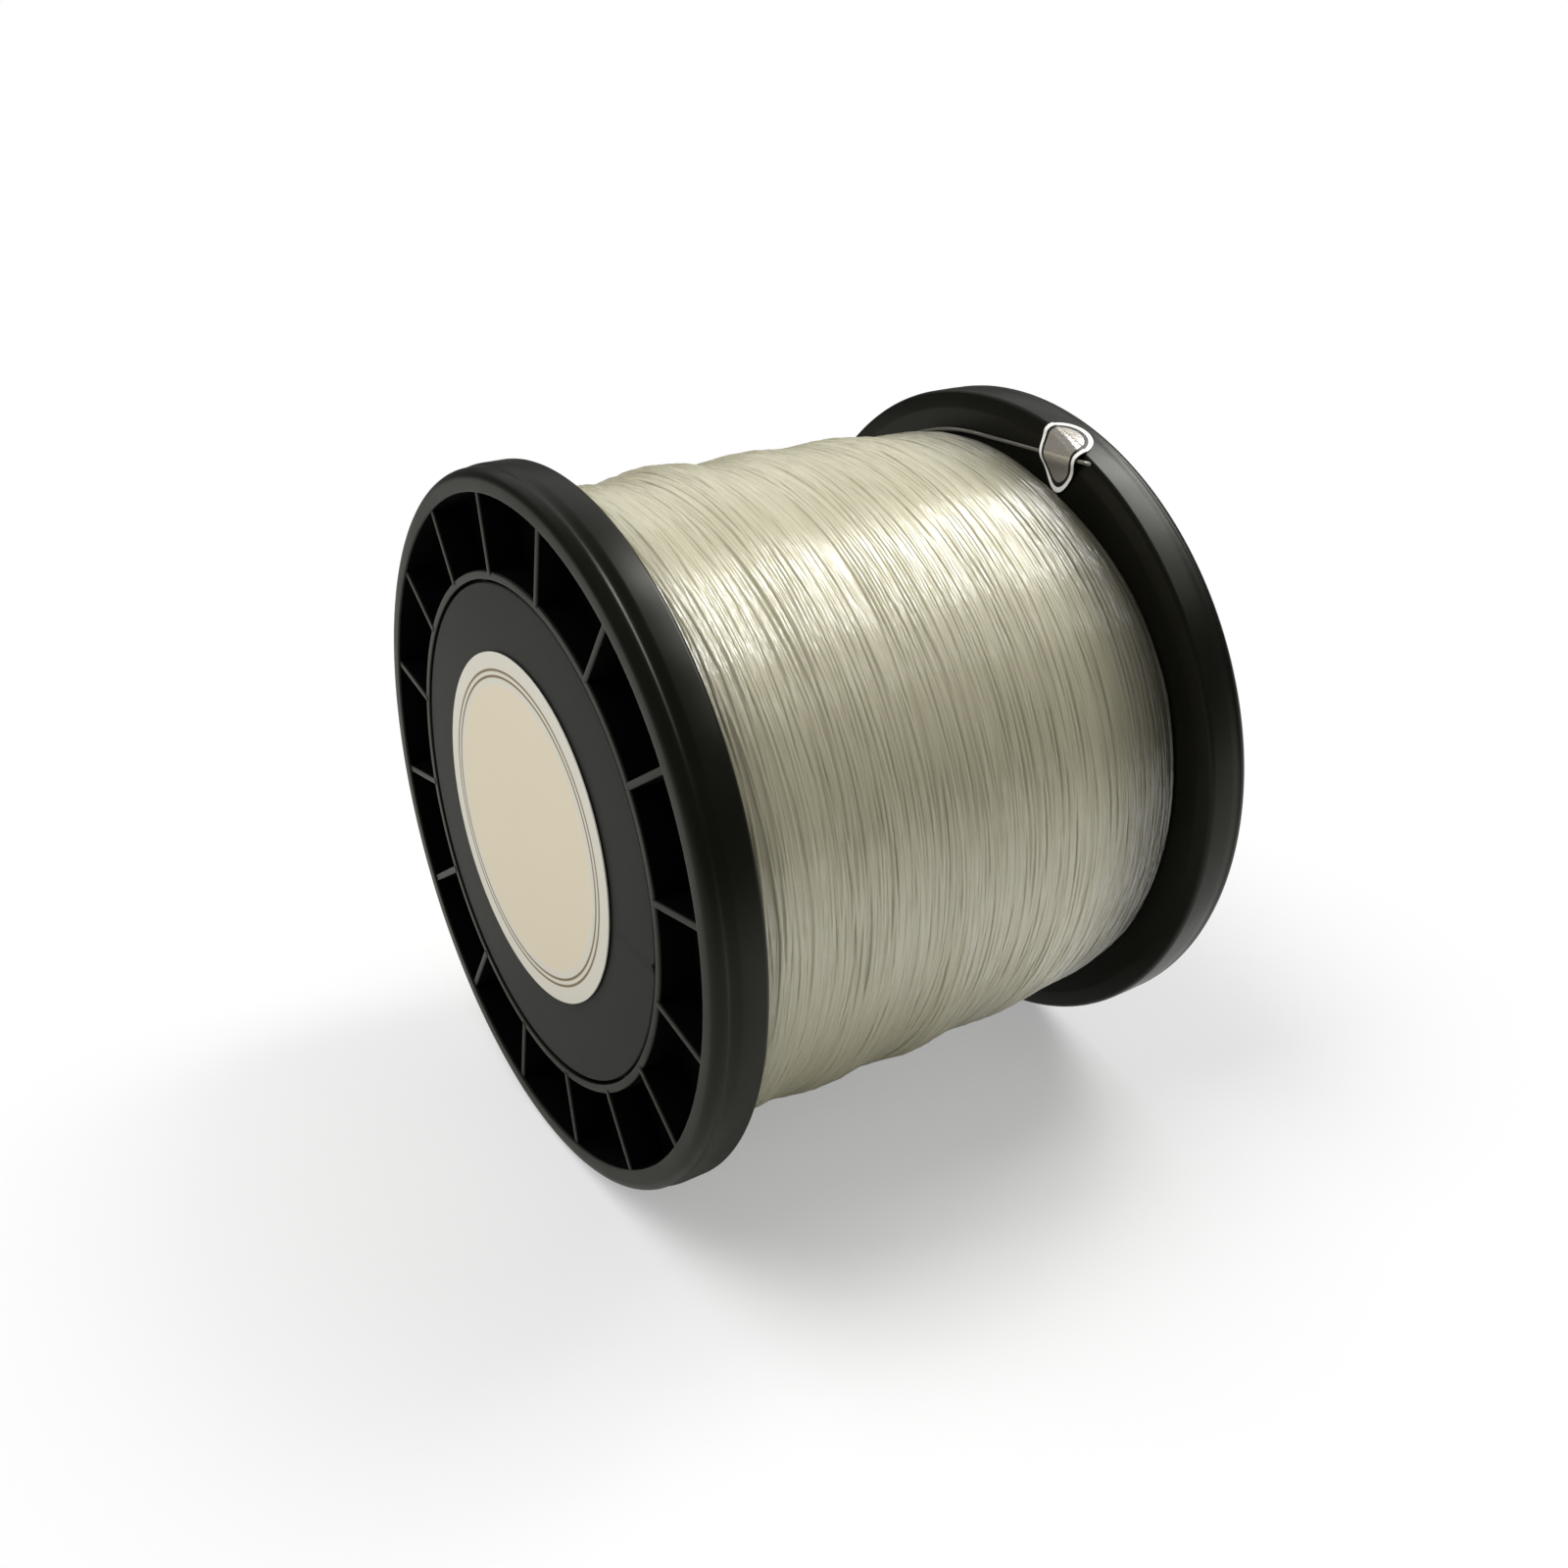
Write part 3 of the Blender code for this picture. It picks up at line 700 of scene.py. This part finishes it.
# Wound line, in millimetres. One line travels to and fro between the flanges at a slight slant.
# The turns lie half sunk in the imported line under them, and dip as if under each other.
winding = {
    "frontDrop": 1.2,        # the winding falls off towards each flange
    "rearDrop": 2.4,
    "rippleDepth": 0.3,
    "rippleLength": 19.0,
    "barrelRadius": 45.0,
    "packedDrop": 0.1,       # packed line under the turns that show
    # x, angle in degrees, height, reach along the spool, reach round it in degrees
    "humps": ((-18, 85, 0.55, 5.5, 50), (-8.5, 80, -0.4, 3.5, 40), (-28, 95, -0.3, 3.0, 60),
              (8, 120, 0.25, 5.0, 50), (26, 210, 0.45, 6.0, 45), (-1, 215, 0.3, 4.0, 40),
              (-27, 215, -0.35, 4.5, 50), (15, 330, 0.4, 7.0, 60), (-20, 300, 0.35, 6.0, 50),
              (45, 110, -1.5, 4.5, 22), (43, 150, 0.8, 8.0, 22)),
    "travel": 6.7,           # along the spool in one turn
    "travelChange": 0.35,    # share
    "turnAround": 2.2,       # the line turns back up to this far from a flange
    "wander": 1.3,
    "sunk": 0.15,            # the line's middle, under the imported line's surface
    "dips": 0.2,
    # Waves are pairs of waves in a turn and size
    "travelWaves": ((0.031, 0.5), (0.083, 0.3), (0.29, 0.4)),
    "turnAroundWaves": ((0.017, 0.6), (0.043, 0.4)),
    "wanderWaves": ((0.37, 0.45), (1.13, 0.4), (2.71, 0.25), (6.3, 0.06)),
    "dipWaves": ((2.3, 0.35), (5.3, 0.35), (9.7, 0.3), (16.1, 0.25)),
    "toneWaves": ((0.71, 0.5), (3.1, 0.3)),
    "waveSpread": 0.2,       # share that a wave's rate may gain
    "turns": 250,
    "pointsPerTurn": 96,
    "section": (0, 28, 56, 90, 180, 270, 304, 332),   # degrees, finest on the side that shows
    "sharpAngle": 100,       # degrees, so that only a strand's cut ends count as sharp
    "bodySteps": 192,
    "bodyStations": 176,
    "seed": 7,
}


def windingRadius(x):
    share = x / faceX
    drop = np.where(share > 0, winding["rearDrop"], winding["frontDrop"])
    ripple = winding["rippleDepth"] * np.cos(2 * math.pi * x / winding["rippleLength"])
    return spool["windingRadius"] - drop * np.abs(share) ** 3 + ripple


def packedRadius(x, angle):
    radius = windingRadius(x) - winding["packedDrop"]
    for place, middle, height, reach, sweep in winding["humps"]:
        turn = np.mod(angle - math.radians(middle) + math.pi, 2 * math.pi) - math.pi
        radius = radius + height * np.exp(-((x - place) / reach) ** 2 - (turn / math.radians(sweep)) ** 2)
    return radius


def slowWave(turns, dice, rates):
    # A few sines whose lengths share no factor, so neighbouring turns differ
    total = np.zeros_like(turns)
    for rate, size in rates:
        pace = rate * (1 + winding["waveSpread"] * dice.random())
        total += size * np.sin(2 * math.pi * (pace * turns + dice.random()))
    return total


def layLine():
    # Where the line's middle is, point by point
    dice = np.random.default_rng(winding["seed"])
    perTurn = winding["pointsPerTurn"]
    half = faceX - spool["clearance"] - spool["lineDiameter"] / 2
    turns = np.arange(winding["turns"] * perTurn) / perTurn
    speed = 1 + winding["travelChange"] * slowWave(turns, dice, winding["travelWaves"])
    run = np.cumsum(speed) * winding["travel"] / perTurn
    saw = np.abs(np.mod(run / (2 * half), 2.0) - 1.0) * 2 - 1
    inset = winding["turnAround"] * (0.5 + 0.5 * slowWave(turns, dice, winding["turnAroundWaves"]))
    x = saw * (half - np.clip(inset, 0.0, None))
    x += winding["wander"] * slowWave(turns, dice, winding["wanderWaves"])
    x = np.clip(x, -half, half)
    angle = 2 * math.pi * turns
    dips = winding["dips"] * slowWave(turns, dice, winding["dipWaves"])
    radius = packedRadius(x, angle) - winding["sunk"] + dips
    return np.stack([x, radius * np.cos(angle), axisHeight + radius * np.sin(angle)], axis=1) * mm


def tubeArrays(points, radius, section):
    # Rings of vertices round a path, squared to the path and to the spool's radius
    ahead = np.gradient(points, axis=0)
    ahead /= np.linalg.norm(ahead, axis=1)[:, None]
    out = points - np.array([0, 0, axisHeight * mm])
    out[:, 0] = 0
    out -= ahead * np.sum(out * ahead, axis=1)[:, None]
    out /= np.linalg.norm(out, axis=1)[:, None]
    side = np.cross(ahead, out)
    turn = np.radians(section)
    ring = out[:, None] * np.cos(turn)[None, :, None] + side[:, None] * np.sin(turn)[None, :, None]
    vertices = (points[:, None] + ring * radius).reshape(-1, 3)
    count, sides = len(points), len(section)
    i, j = np.meshgrid(np.arange(count - 1), np.arange(sides), indexing="ij")
    k = (j + 1) % sides
    faces = np.stack([i * sides + j, (i + 1) * sides + j, (i + 1) * sides + k, i * sides + k], axis=-1)
    return vertices, faces.reshape(-1, 4)


def strandObject(name, points, radius, section, tones):
    vertices, faces = tubeArrays(points, radius, section)
    count, sides = len(vertices), len(section)
    caps = [list(range(sides)), list(range(count - 1, count - sides - 1, -1))]
    mesh = bpy.data.meshes.new(name)
    mesh.from_pydata(vertices.tolist(), [], faces.tolist() + caps)
    shape = bmesh.new()
    shape.from_mesh(mesh)
    bmesh.ops.recalc_face_normals(shape, faces=shape.faces)
    shape.to_mesh(mesh)
    shape.free()
    mesh.shade_smooth()
    mesh.set_sharp_from_angle(angle=math.radians(winding["sharpAngle"]))
    mesh.attributes.new("strandTone", "FLOAT", "POINT").data.foreach_set(
        "value", np.repeat(tones, sides).astype(np.float32))
    made = bpy.data.objects.new(name, mesh)
    bpy.context.scene.collection.objects.link(made)
    return made


def addTurns():
    points = layLine()
    dice = np.random.default_rng(winding["seed"] + 1)
    turns = np.arange(len(points)) / winding["pointsPerTurn"]
    tones = 0.5 + 0.5 * slowWave(turns, dice, winding["toneWaves"])
    # Two pieces, each with half of the line. Two pieces, because one would be too heavy
    # to export
    middle = len(points) // 2
    for name, part, nodes in (("line_under_turns", slice(0, middle + 1), []),
                              ("line_top_turns", slice(middle, None), ["line_outer_layer"])):
        piece = strandObject(name, points[part], spool["lineDiameter"] / 2 * mm,
                             winding["section"], tones[part])
        keep(piece, "nylon_line", nodes, clearNylon)
        print("%s: %d faces" % (name, len(piece.data.polygons)))


def addLineBody():
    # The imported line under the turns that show
    half = faceX - spool["clearance"]
    inner = winding["barrelRadius"] + spool["clearance"]
    stations = np.linspace(-half, half, winding["bodyStations"])
    shape = bmesh.new()
    rings = []
    for step in range(winding["bodySteps"]):
        angle = 2 * math.pi * step / winding["bodySteps"]
        ring = [shape.verts.new(onAxis(x, high, angle))
                for x, high in zip(stations, packedRadius(stations, angle))]
        ring += [shape.verts.new(onAxis(half, inner, angle)), shape.verts.new(onAxis(-half, inner, angle))]
        rings.append(ring)
    for here, after in zip(rings, rings[1:] + rings[:1]):
        for i in range(len(here)):
            j = (i + 1) % len(here)
            shape.faces.new((here[i], here[j], after[j], after[i]))
    keep(meshObject("line_packed_body", shape), "nylon_line", ["line_core"], clearNylon)


addLineBody()
addTurns()
print("winding made")


# Loose end, in millimetres
tail = {
    "startAngle": 38,        # degrees
    "leavesAngle": 88,
    "endPast": 1.2,          # its cut end stands this far past the face's edge
    "lastTurn": 3.3,         # the CAD's last turn, as thick as this, which it lies over
    "tone": 0.9,
    "arcPoints": 40,
    "dive": 1.6,             # it comes up out of the winding
    "divePoints": 10,
    "straightPoints": 16,
    "section": tuple(range(0, 360, 30)),
}
tailX = faceX - spool["clearance"] - spool["lineDiameter"] / 2
lastTurnX = faceX - spool["clearance"] - tail["lastTurn"] / 2
tailRadius = float(windingRadius(np.array(lastTurnX))) + spool["clearance"] + spool["lineDiameter"] / 2


def addTail():
    leaves = math.radians(tail["leavesAngle"])
    start = math.radians(tail["startAngle"])
    points = []
    for i in range(tail["arcPoints"] + 1):
        under = tail["dive"] * max(0.0, 1 - i / tail["divePoints"]) ** 2
        points.append(onAxis(tailX, tailRadius - under, start + (leaves - start) * i / tail["arcPoints"]))
    endRadius = edgeRadius + tail["endPast"]
    length = math.sqrt(endRadius ** 2 - tailRadius ** 2) * mm
    along = Vector((0, -math.sin(leaves), math.cos(leaves)))
    points += [points[tail["arcPoints"]] + along * length * i / tail["straightPoints"]
               for i in range(1, tail["straightPoints"] + 1)]
    route = np.array([tuple(point) for point in points])
    piece = strandObject("line_loose_end", route, spool["lineDiameter"] / 2 * mm, tail["section"],
                         np.full(len(route), tail["tone"]))
    keep(piece, "nylon_line", ["line_tail"], clearNylon)


addTail()


# Sticker over the loose end, in millimetres
sticker = {
    "width": 9.4,
    "thickness": 0.12,
    "onRim": 4.2,
    "innerEnd": 52.9,        # radius
    "angle": 109.9,          # degrees
    "tilt": 18,
    "taper": 0.22,           # narrower towards the axis
    "ridgeWidth": 2.2,       # tent over the line under it
    "rimGap": 0.18,          # between it and the rim
    "sharpAngle": 80,        # degrees
    "grid": 72,
}
foldRadius = spool["edgeRound"] + spool["clearance"]
foldLength = foldRadius * math.pi / 2


def lineUnder(y, z):
    # Distance in the flange's plane from the straight stretch of the loose end
    leaves = math.radians(tail["leavesAngle"])
    direction = Vector((-math.sin(leaves), math.cos(leaves)))
    off = Vector((y, z)) - Vector((math.cos(leaves), math.sin(leaves))) * tailRadius
    return abs(off.x * direction.y - off.y * direction.x)


def stickerPoint(across, out):
    # across: along the rim. out: from the inner face (negative) over the edge onto the rim.
    angle = math.radians(sticker["angle"]) + across / edgeRadius
    lift = 0.0
    if out < foldLength:
        radius = edgeRadius + min(out, 0.0)
        near = lineUnder(radius * math.cos(angle), radius * math.sin(angle))
        lift = (spool["lineDiameter"] + spool["clearance"]) * math.exp(-(near / sticker["ridgeWidth"]) ** 2)
    if out <= 0:
        return onAxis(faceX - spool["clearance"] - lift, edgeRadius + out, angle)
    foldX = faceX + spool["faceStep"] + spool["edgeRound"]
    if out < foldLength:
        bend = out / foldRadius
        reach = foldX - faceX + spool["clearance"] + lift
        return onAxis(foldX - reach * math.cos(bend), edgeRadius + foldRadius * math.sin(bend), angle)
    return onAxis(foldX + out - foldLength, spool["rimRadius"] + sticker["rimGap"], angle)


def addSticker():
    # A square grid drawn out to an oval, narrower towards the axis, tilted and folded over the edge
    low = sticker["innerEnd"] - edgeRadius
    high = sticker["onRim"] + foldLength
    halfWidth = sticker["width"] / 2
    tilt = math.radians(sticker["tilt"])
    middle, reach = (low + high) / 2, (high - low) / 2
    halfLength = math.sqrt(reach ** 2 - (halfWidth * math.sin(tilt)) ** 2) / math.cos(tilt)
    grid = sticker["grid"]
    shape = bmesh.new()
    places = []
    rows = []
    for i in range(grid + 1):
        row = []
        for j in range(grid + 1):
            u, v = 2 * i / grid - 1, 2 * j / grid - 1
            a, b = u * math.sqrt(1 - v * v / 2), v * math.sqrt(1 - u * u / 2)
            places.append((a, b, 0.0))
            a, b = a * halfWidth * (1 + sticker["taper"] * b), b * halfLength
            row.append(shape.verts.new(stickerPoint(
                a * math.cos(tilt) - b * math.sin(tilt),
                middle + a * math.sin(tilt) + b * math.cos(tilt))))
        rows.append(row)
    for i in range(grid):
        for j in range(grid):
            shape.faces.new((rows[i][j], rows[i + 1][j], rows[i + 1][j + 1], rows[i][j + 1]))
    piece = meshObject("foil_end_sticker", shape, sticker["sharpAngle"])
    piece.data.attributes.new("ovalPlace", "FLOAT_VECTOR", "POINT").data.foreach_set(
        "vector", [value for place in places for value in place])
    skin = piece.modifiers.new("Thickness", "SOLIDIFY")
    skin.thickness = sticker["thickness"] * mm
    skin.offset = 1.0
    keep(piece, "sticker_foil", ["end_sticker"], stampedFoil)


addSticker()
print("loose end and sticker made")


# Floor, light and camera, in metres
studio = {
    "floorSize": 6.0,
    "floorDrop": 0.00012,          # under the rims
    "floorColour": "#f0f0f0",
    "bounceColour": "#c4c4be",     # what the floor throws back on the spool
    "shadowReach": (0.08, 0.18),   # from the spool, where the floor fades to plain white
    "shadowLift": 0.35,            # plain white mixed into the shadow where it is deepest
    # What the spool mirrors of the paper: the floor glows white to mirrored rays in a patch, a painted
    # reflection of lit paper, with painted shadow towards these edges
    "paperStart": (0.02, 0.10),    # from the spool, where its shadow ends
    "paperReach": (0.25, 0.29),    # where the lit paper ends
    "paperRise": (-0.01, 0.05, 0.08),   # x from and to, and the share lit before it
    "paperFall": (0.07, 0.12, 0.2),     # x from and to, and the share lit past it
    "roomStrength": 0.1,
    "lampColour": "#ffffff",
}


def addFloor():
    bpy.ops.mesh.primitive_plane_add(size=studio["floorSize"], location=(0, 0, -studio["floorDrop"]))
    floor = bpy.context.object
    floor.name = "floor"
    material, tree, shader = startMaterial("paperSweep")
    where = addNode(tree, "NewGeometry", {}).outputs["Position"]
    away = addNode(tree, "VectorMath", {0: where}, operation="LENGTH").outputs["Value"]
    fade = addNode(tree, "MapRange", {
        "Value": away, "From Min": studio["shadowReach"][0], "From Max": studio["shadowReach"][1],
        "To Min": studio["shadowLift"]}, interpolation_type="SMOOTHSTEP")
    ray = addNode(tree, "LightPath", {})
    seen = addNode(tree, "Math", {
        0: ray.outputs["Is Camera Ray"], 1: fade.outputs["Result"]}, operation="MULTIPLY")
    # Painted reflection: the floor glows white to mirrored rays in a patch, dark where the spool's shadow
    # would fall
    paperStart = addNode(tree, "MapRange", {
        "Value": away, "From Min": studio["paperStart"][0], "From Max": studio["paperStart"][1],
        "To Min": 0.0, "To Max": 1.0})
    paperEnd = addNode(tree, "MapRange", {
        "Value": away, "From Min": studio["paperReach"][0], "From Max": studio["paperReach"][1],
        "To Min": 1.0, "To Max": 0.0})
    aside = addNode(tree, "SeparateXYZ", {"Vector": where}).outputs["X"]
    rise = addNode(tree, "MapRange", {
        "Value": aside, "From Min": studio["paperRise"][0], "From Max": studio["paperRise"][1],
        "To Min": studio["paperRise"][2]})
    fall = addNode(tree, "MapRange", {
        "Value": aside, "From Min": studio["paperFall"][0], "From Max": studio["paperFall"][1],
        "To Min": 1.0, "To Max": studio["paperFall"][2]})
    paintedGlow = addNode(tree, "Math", {
        0: paperStart.outputs["Result"], 1: paperEnd.outputs["Result"]}, operation="MULTIPLY")
    for part in (rise, fall):
        paintedGlow = addNode(tree, "Math", {0: paintedGlow.outputs[0], 1: part.outputs["Result"]}, operation="MULTIPLY")
    mirrored = addNode(tree, "Math", {
        0: ray.outputs["Is Glossy Ray"], 1: paintedGlow.outputs[0]}, operation="MULTIPLY")
    plain = addNode(tree, "Math", {0: seen.outputs[0], 1: mirrored.outputs[0]}, operation="ADD")
    white = addNode(tree, "Emission", {"Color": (1, 1, 1, 1), "Strength": 1.0})
    mix = addNode(tree, "MixShader", {
        0: plain.outputs[0], 1: shader.outputs["BSDF"], 2: white.outputs["Emission"]})
    paper = addNode(tree, "Mix", {
        "Factor": ray.outputs["Is Camera Ray"], 6: toLinear(studio["bounceColour"]),
        7: toLinear(studio["floorColour"])}, data_type="RGBA")
    setInputs(tree, shader, {"Base Color": paper.outputs[2], "Roughness": 0.9})
    tree.links.new(mix.outputs["Shader"], tree.nodes["Material Output"].inputs["Surface"])
    floor.data.materials.append(material)


def addRoom():
    world = bpy.data.worlds.new("room")
    world.use_nodes = True
    bpy.context.scene.world = world
    tree = world.node_tree
    ray = addNode(tree, "LightPath", {})
    strength = addNode(tree, "MapRange", {
        "Value": ray.outputs["Is Camera Ray"], "To Min": studio["roomStrength"], "To Max": 1.0})
    setInputs(tree, tree.nodes["Background"], {
        "Color": (1, 1, 1, 1), "Strength": strength.outputs["Result"]})


# The strips beyond the spool give the winding's bright band its sharp start and its slow fade
# towards the camera, and the rims their highlight. They look down, with a target just short of
# straight down that keeps their long side along the spool. The three boxes are never mirrored
# and only light the winding and the label. The back panel lights the streaks on top.
lamps = [
    {"name": "stripHigh", "place": (0.615, 0.03, 0.76), "target": (0.615, 0.0299, 0),
     "size": (0.69, 0.21), "watts": 3.7, "turn": -15},
    {"name": "stripEnd", "place": (0.74, 0.17, 0.76), "target": (0.74, 0.1699, 0),
     "size": (0.36, 0.16), "watts": 1.7},
    {"name": "stripMiddle", "place": (0.66, -0.175, 0.76), "target": (0.66, -0.1751, 0),
     "size": (0.6, 0.19), "watts": 1.8},
    {"name": "stripLow", "place": (0.72, -0.47, 0.76), "target": (0.72, -0.4701, 0),
     "size": (0.5, 0.45), "watts": 1.1},
    {"name": "topBox", "place": (-0.42, 0.15, 0.80), "target": (0, 0, 0.06),
     "size": (0.6, 0.6), "watts": 5.6, "mirrored": False},
    {"name": "frontBox", "place": (-0.60, -0.62, 0.32), "target": (0, 0, 0.06),
     "size": (0.5, 0.5), "watts": 0.9, "mirrored": False},
    {"name": "leftBox", "place": (-0.96, 0.41, 0.68), "target": (0, 0, 0.06),
     "size": (1.0, 0.9), "watts": 2.5, "mirrored": False},
    {"name": "backPanel", "place": (0.25, 0.72, 0.72), "target": (0.1, 0, 0.1),
     "size": (1.6, 0.6), "watts": 1.6},
]


def addLamps():
    for lamp in lamps:
        data = bpy.data.lights.new(lamp["name"], "AREA")
        data.shape = "RECTANGLE"
        data.size, data.size_y = lamp["size"]
        data.energy = lamp["watts"]
        data.color = toLinear(studio["lampColour"])[:3]
        made = bpy.data.objects.new(lamp["name"], data)
        bpy.context.scene.collection.objects.link(made)
        made.visible_glossy = lamp.get("mirrored", True)
        made.location = lamp["place"]
        aim = Vector(lamp["target"]) - made.location
        turn = Quaternion((0, 0, 1), math.radians(lamp.get("turn", 0)))
        made.rotation_euler = (aim.to_track_quat("-Z", "Y") @ turn).to_euler()


# Fitted to the rims and the label as the photograph shows them
view = {
    "place": (-0.14678, -0.22254, 0.19321),
    "right": (0.83699, -0.54721, 0.0),
    "up": (0.21845, 0.33413, 0.91686),
    "lens": 36.606,          # mm
    "shift": -0.0625,        # the photograph is cropped below the lens axis
}


def addCamera():
    data = bpy.data.cameras.new("camera")
    data.sensor_width = 36.0
    data.lens = view["lens"]
    data.shift_y = view["shift"]
    data.clip_start, data.clip_end = 0.01, 20.0
    made = bpy.data.objects.new("camera", data)
    bpy.context.scene.collection.objects.link(made)
    right, up = Vector(view["right"]), Vector(view["up"])
    turn = Matrix((right, up, right.cross(up))).transposed().to_4x4()
    made.matrix_world = Matrix.Translation(view["place"]) @ turn
    bpy.context.scene.camera = made


addFloor()
addRoom()
addLamps()
addCamera()
bpy.context.scene.view_settings.view_transform = "Standard"
print("studio made")
